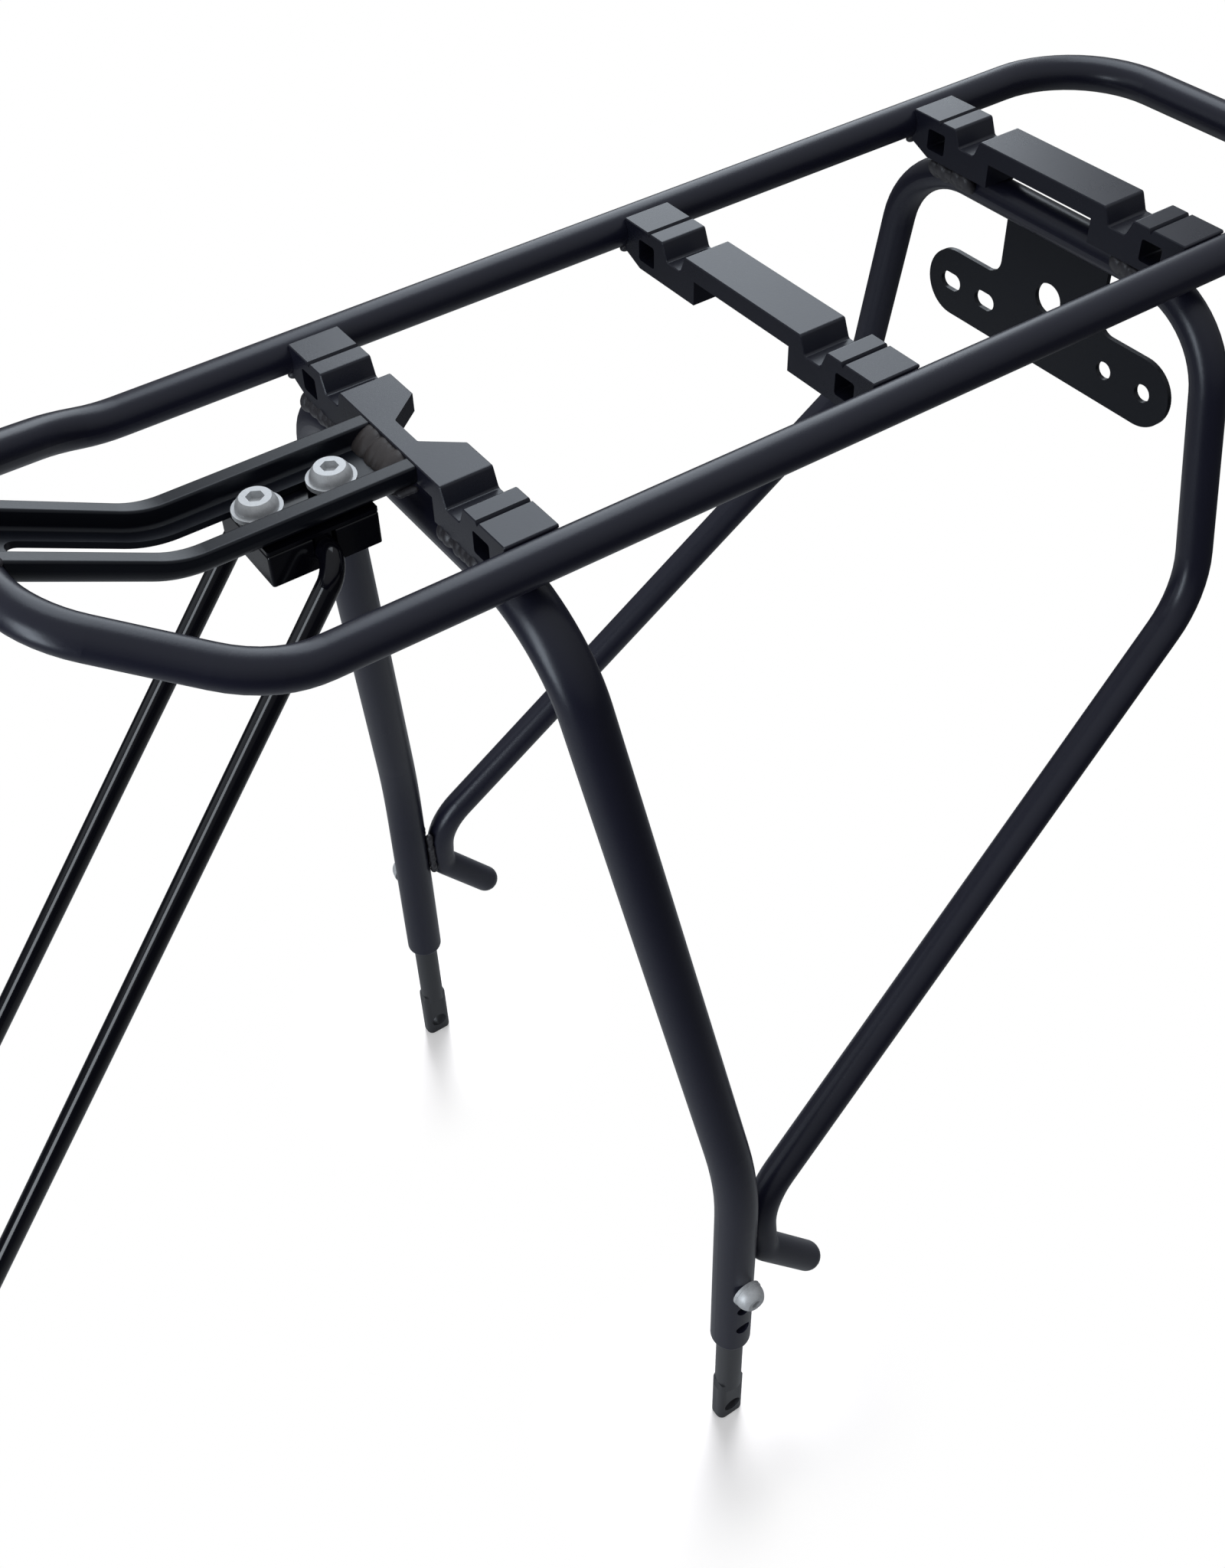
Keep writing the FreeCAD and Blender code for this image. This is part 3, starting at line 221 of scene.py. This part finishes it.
camera = bpy.data.objects.new("camera", bpy.data.cameras.new("camera"))
right, down, ahead = (Vector(axis) for axis in (CAMERA_RIGHT, CAMERA_DOWN, CAMERA_AHEAD))
aim = Matrix((right, -down, -ahead)).transposed().to_4x4()
camera.matrix_world = Matrix.Translation(CAMERA_PLACE) @ aim
camera.data.lens = CAMERA_LENS
camera.data.shift_x, camera.data.shift_y = CAMERA_SHIFT
camera.data.clip_start = 0.01
bpy.context.collection.objects.link(camera)
bpy.context.scene.camera = camera
bpy.context.scene.view_settings.view_transform = "Standard"


# Bent frame: the platform loop and both leg hoops are aluminium, welded and then powder coated.
# The coat is a matt blue-black with the faint pebbled skin of fused powder.
def noise(place, scale, detail):
    return place.node("TexNoise", sockets={"Vector": place, "Scale": scale, "Detail": detail})


def powder_coat(name, dark, pale, roughness, pebble=0.00002, ior=1.5):
    """Fused powder: a skin with pebbles of that height, and a gloss that drifts a little."""
    material, place = new_material(name)
    drift = noise(place, scale=28, detail=3)
    skin = noise(place, scale=1500, detail=2)
    speck = noise(place, scale=5200, detail=1)
    bump = place.node("Bump", sockets={
        "Strength": 1.0, "Distance": pebble, "Height": 0.8 * skin + 0.2 * speck})
    surface = place.node("BsdfPrincipled", sockets={
        "Base Color": (0.65 * drift + 0.35 * speck).mix(dark, pale),
        "Roughness": roughness + 0.10 * (drift - 0.5) + 0.06 * (skin - 0.5),
        "IOR": ior, "Specular Tint": (0.93, 0.96, 1, 1), "Normal": bump})
    place.node("OutputMaterial", sockets={"Surface": surface})
    return material


def finish_nodes(material, *nodes):
    """Puts the material on these CAD pieces."""
    for node in nodes:
        for material_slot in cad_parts[node].material_slots:
            material_slot.material = material


frame_coat = powder_coat(
    "frame_powder_coat", dark=(0.0090, 0.0092, 0.0205, 1), pale=(0.0128, 0.0131, 0.0265, 1),
    roughness=0.31)
finish_nodes(frame_coat, "platform_loop", "front_leg_hoop", "rear_leg_hoop")


# Cross profiles: sawn lengths of an aluminium extrusion, coated with the frame.
# Their flat tops are smoother than the tubes, so they look greyer.
profile_coat = powder_coat(
    "profile_powder_coat", dark=(0.0080, 0.0085, 0.0165, 1), pale=(0.0115, 0.0120, 0.0215, 1),
    roughness=0.29, pebble=0.000012)
finish_nodes(profile_coat, "front_cross_profile", "middle_cross_profile", "rear_cross_profile")


# Stay channel and lamp plate: an extruded channel and a sheet plate, welded in and coated with the frame.
# Their coat is smoother than the bars', and nearer to black.
channel_coat = powder_coat(
    "channel_powder_coat", dark=(0.0036, 0.0044, 0.0080, 1), pale=(0.0054, 0.0064, 0.0112, 1),
    roughness=0.30, pebble=0.000012, ior=1.42)
finish_nodes(channel_coat, "stay_channel", "lamp_plate")


# Weld beads: TIG fillets between the frame's pieces, with low ripples under the same powder coat, which
# is painted paler here as a painted sheen standing for the highlights on the ripples.
# Each one fills the corner between two pieces of the rack, and rides with it.
BEAD_VOXEL = 0.00028
RAIL_SEAM_HALF, RAIL_SEAM_Y, RAIL_SEAM_Z = 0.0064, 0.0530, 0.3546
FRONT_TUBE_X, FRONT_TUBE_Z = 0.0266, 0.34505
FRONT_SEAM_OUT, FRONT_SEAM_UP, FRONT_SEAM_END_UP = 0.0054, 0.0048, 0.0040
REAR_BAR_X, REAR_BAR_Z = -0.1846, 0.3462
REAR_SEAM_AHEAD, REAR_SEAM_BEHIND = 0.0062, 0.0039
TOE_CORNER = ((0.0395, 0.0095, 0.3568), (0.0380, 0.0122, 0.3570), (0.0352, 0.0134, 0.3578))
BOW_TOP_X, BOW_TOP_Z = 0.1316, 0.3824
BOW_UNDER_X, BOW_UNDER_Z, BOW_UNDER_HALF = 0.1308, 0.3757, 0.0130
ROOT_X, ROOT_Z, ROOT_HALF = 0.0358, 0.3600, 0.0078
HOOK_SEAM_OUTER_Y, HOOK_SEAM_INNER_Y = 0.1022, 0.0966
HOOK_SEAM_FOOT_X, HOOK_SEAM_FOOT_Z = -0.0066, 0.0940
HOOK_SEAM_TOP_X, HOOK_SEAM_TOP_Z = -0.0063, 0.1115
PLATE_SEAM_X, PLATE_SEAM_Z = -0.1867, 0.3418
# Painted sheen: the beads' coat is a paler copy of the frame's, standing for the highlights on their
# ripples.
weld_coat_painted_sheen = powder_coat(
    "weld_powder_coat_painted_sheen", dark=(0.0270, 0.0255, 0.0300, 1), pale=(0.0500, 0.0470, 0.0520, 1),
    roughness=0.40)
root_coat = powder_coat(
    "thin_powder_over_weld", dark=(0.036, 0.031, 0.030, 1), pale=(0.084, 0.072, 0.069, 1),
    roughness=0.40, pebble=0.00003)


def weld_bead(name, stops, across, up, breadth, depth, coat=weld_coat_painted_sheen, pitch=0.0019, melt_in=0.95):
    """A row of overlapping ripples along the stops, melted together.

    across and up point over the bead and away from the corner; breadth and depth are its half sizes.
    pitch is the step from one ripple to the next, and melt_in is a ripple's half length in such steps.
    """
    shape = bmesh.new()
    across, up = Vector(across).normalized(), Vector(up).normalized()
    number = 0
    for first, last in zip(stops, stops[1:]):
        run = Vector(last) - Vector(first)
        steps = max(1, round(run.length / pitch))
        for step in range(steps + 1):
            swell = 1 + 0.12 * math.sin(2.4 * number) + 0.06 * math.sin(5.1 * number + 1)
            size = Matrix.Diagonal((melt_in * pitch, breadth * swell, depth * swell, 1))
            turn = Matrix((run.normalized(), across, up)).transposed().to_4x4()
            place = Matrix.Translation(Vector(first) + run * step / steps)
            bmesh.ops.create_icosphere(shape, subdivisions=3, radius=1, matrix=place @ turn @ size)
            number += 1
    mesh = bpy.data.meshes.new(name)
    shape.to_mesh(mesh)
    shape.free()
    raw = bpy.data.objects.new(name + "_ripples", mesh)
    bpy.context.collection.objects.link(raw)
    melt = raw.modifiers.new("melt", "REMESH")
    melt.mode = "VOXEL"
    melt.voxel_size = BEAD_VOXEL
    melt.use_smooth_shade = True
    settle = raw.modifiers.new("settle", "SMOOTH")
    settle.factor = 0.6
    settle.iterations = 5
    seen = raw.evaluated_get(bpy.context.evaluated_depsgraph_get())
    bead = bpy.data.objects.new(name, bpy.data.meshes.new_from_object(seen))
    bpy.data.objects.remove(raw)
    bpy.context.collection.objects.link(bead)
    bead.data.materials.clear()
    bead.data.materials.append(coat)
    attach(bead, "rack")


def on_side(side, *stops):
    """Stops given for the rider's left, mirrored to the right where side is -1."""
    return [(x, side * y, z) for x, y, z in stops]


for side, hand in ((1, "left"), (-1, "right")):
    for place in ("front", "middle", "rear"):
        low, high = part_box(place + "_cross_profile")
        middle = (low.x + high.x) / 2
        weld_bead(
            f"{place}_profile_{hand}_rail_weld",
            on_side(side, (middle + RAIL_SEAM_HALF, RAIL_SEAM_Y, RAIL_SEAM_Z),
                    (middle - RAIL_SEAM_HALF, RAIL_SEAM_Y, RAIL_SEAM_Z)),
            across=(0, -side, 0.6), up=(0, side * -0.5, -1), breadth=0.0016, depth=0.0012)
    for end, lean in (("fore", 1), ("aft", -1)):
        seam_x = FRONT_TUBE_X + lean * FRONT_SEAM_OUT
        weld_bead(
            f"front_hoop_{hand}_{end}_weld",
            on_side(side, (seam_x, 0.0225, FRONT_TUBE_Z + FRONT_SEAM_UP),
                    (seam_x, 0.0375, FRONT_TUBE_Z + FRONT_SEAM_UP),
                    (seam_x, 0.0470, FRONT_TUBE_Z + FRONT_SEAM_END_UP)),
            across=(0, 0, 1), up=(lean, 0, 0), breadth=0.0029, depth=0.0027, pitch=0.0026)
    weld_bead(
        f"rear_hoop_{hand}_fore_weld",
        on_side(side, (REAR_BAR_X + REAR_SEAM_AHEAD, 0.0300, REAR_BAR_Z + 0.0019),
                (REAR_BAR_X + REAR_SEAM_AHEAD, 0.0430, REAR_BAR_Z + 0.0017)),
        across=(0.5, 0, 0.865), up=(0.865, 0, -0.5), breadth=0.0037, depth=0.0018, pitch=0.0030)
    weld_bead(
        f"rear_hoop_{hand}_aft_weld",
        on_side(side, (REAR_BAR_X - REAR_SEAM_BEHIND, 0.0240, REAR_BAR_Z + 0.0042),
                (REAR_BAR_X - REAR_SEAM_BEHIND, 0.0450, REAR_BAR_Z + 0.0036)),
        across=(0, 0, 1), up=(-1, 0, 0), breadth=0.0020, depth=0.0018, pitch=0.0024)
    weld_bead(
        f"channel_{hand}_toe_weld", on_side(side, *TOE_CORNER),
        across=(0, side, 0), up=(0, side * 0.5, -1), breadth=0.0010, depth=0.0009, pitch=0.0014)
    weld_bead(
        f"channel_{hand}_bow_weld",
        on_side(side, (BOW_TOP_X, 0.0088, BOW_TOP_Z), (BOW_TOP_X, 0.0136, BOW_TOP_Z)),
        across=(1, 0, 0), up=(0, 0, 1), breadth=0.0013, depth=0.0012, pitch=0.0018)
    for face, y in (("outer", HOOK_SEAM_OUTER_Y), ("inner", HOOK_SEAM_INNER_Y)):
        weld_bead(
            f"hook_rod_{hand}_{face}_weld",
            on_side(side, (HOOK_SEAM_FOOT_X, y, HOOK_SEAM_FOOT_Z), (HOOK_SEAM_TOP_X, y, HOOK_SEAM_TOP_Z)),
            across=(0, 1, 0), up=(-1, 0, 0), breadth=0.0014, depth=0.0014)
weld_bead(
    "channel_root_weld", [(ROOT_X, -ROOT_HALF, ROOT_Z), (ROOT_X, ROOT_HALF, ROOT_Z)],
    across=(0.8, 0, -0.6), up=(0.6, 0, 0.8), breadth=0.0047, depth=0.0025,
    coat=root_coat, pitch=0.0021, melt_in=1.7)
weld_bead(
    "channel_bow_underside_weld",
    [(BOW_UNDER_X, -BOW_UNDER_HALF, BOW_UNDER_Z), (BOW_UNDER_X, BOW_UNDER_HALF, BOW_UNDER_Z)],
    across=(1, 0, 0), up=(0, 0, -1), breadth=0.0016, depth=0.0014)
for hand, start_y, end_y in (("left", 0.0110, 0.0230), ("right", -0.0230, -0.0165)):
    weld_bead(
        f"lamp_plate_{hand}_weld",
        [(PLATE_SEAM_X, start_y, PLATE_SEAM_Z), (PLATE_SEAM_X, end_y, PLATE_SEAM_Z)],
        across=(0, 0, 1), up=(1, 0, 0), breadth=0.0021, depth=0.0017, pitch=0.0028)


# Stays and stay clamp: steel rods and blocks with a gloss black enamel.
# The stays hook into the clamp, and its two screws hang it from the channel's slot.
def gloss_enamel(name, dark, pale, roughness):
    """Gloss enamel: a slightly wavy clear skin over black."""
    material, place = new_material(name)
    wave = noise(place, scale=160, detail=2)
    speck = noise(place, scale=3500, detail=2)
    bump = place.node("Bump", sockets={
        "Strength": 1.0, "Distance": 0.00001, "Height": 0.8 * wave + 0.02 * speck})
    surface = place.node("BsdfPrincipled", sockets={
        "Base Color": (0.5 * wave + 0.5 * speck).mix(dark, pale),
        "Roughness": roughness + 0.08 * (wave - 0.5), "IOR": 1.42, "Normal": bump})
    place.node("OutputMaterial", sockets={"Surface": surface})
    return material


stay_enamel = gloss_enamel(
    "stay_gloss_enamel", dark=(0.0020, 0.0020, 0.0040, 1), pale=(0.0030, 0.0030, 0.0060, 1),
    roughness=0.12)
finish_nodes(stay_enamel, "left_stay", "right_stay", "upper_clamp_plate", "lower_clamp_block")


# Clamp and foot screws: cold-headed steel with a bright zinc plate, each on a washer of the same finish.
# The clamp's two pass through the channel's slot, and the feet's two go into the legs from outside.
def zinc_plate(name, dark, pale, roughness):
    """Zinc: a bright grey metal with a fine crystalline mottle."""
    material, place = new_material(name)
    mottle = noise(place, scale=900, detail=3)
    fine = noise(place, scale=4200, detail=3)
    grain = 0.5 * mottle + 0.5 * fine
    bump = place.node("Bump", sockets={"Strength": 1.0, "Distance": 0.00002, "Height": grain})
    surface = place.node("BsdfPrincipled", sockets={
        "Base Color": grain.mix(dark, pale), "Metallic": 0.45,
        "Roughness": roughness + 0.25 * (mottle - 0.5), "Normal": bump})
    place.node("OutputMaterial", sockets={"Surface": surface})
    return material


screw_zinc = zinc_plate(
    "zinc_plate", dark=(0.40, 0.41, 0.42, 1), pale=(0.88, 0.89, 0.90, 1), roughness=0.50)
finish_nodes(
    screw_zinc, "front_clamp_bolt", "rear_clamp_bolt", "front_clamp_washer", "rear_clamp_washer",
    "left_foot_bolt", "right_foot_bolt", "left_foot_washer", "right_foot_washer")


# Foot rods: aluminium rods with a flattened eyelet, which slide in the front legs.
# Their coat is a duller grey-black than the frame's.
foot_coat = powder_coat(
    "foot_rod_coat", dark=(0.030, 0.0305, 0.0340, 1), pale=(0.043, 0.0435, 0.0475, 1),
    roughness=0.34, pebble=0.000012)
finish_nodes(foot_coat, "left_foot_rod", "right_foot_rod")
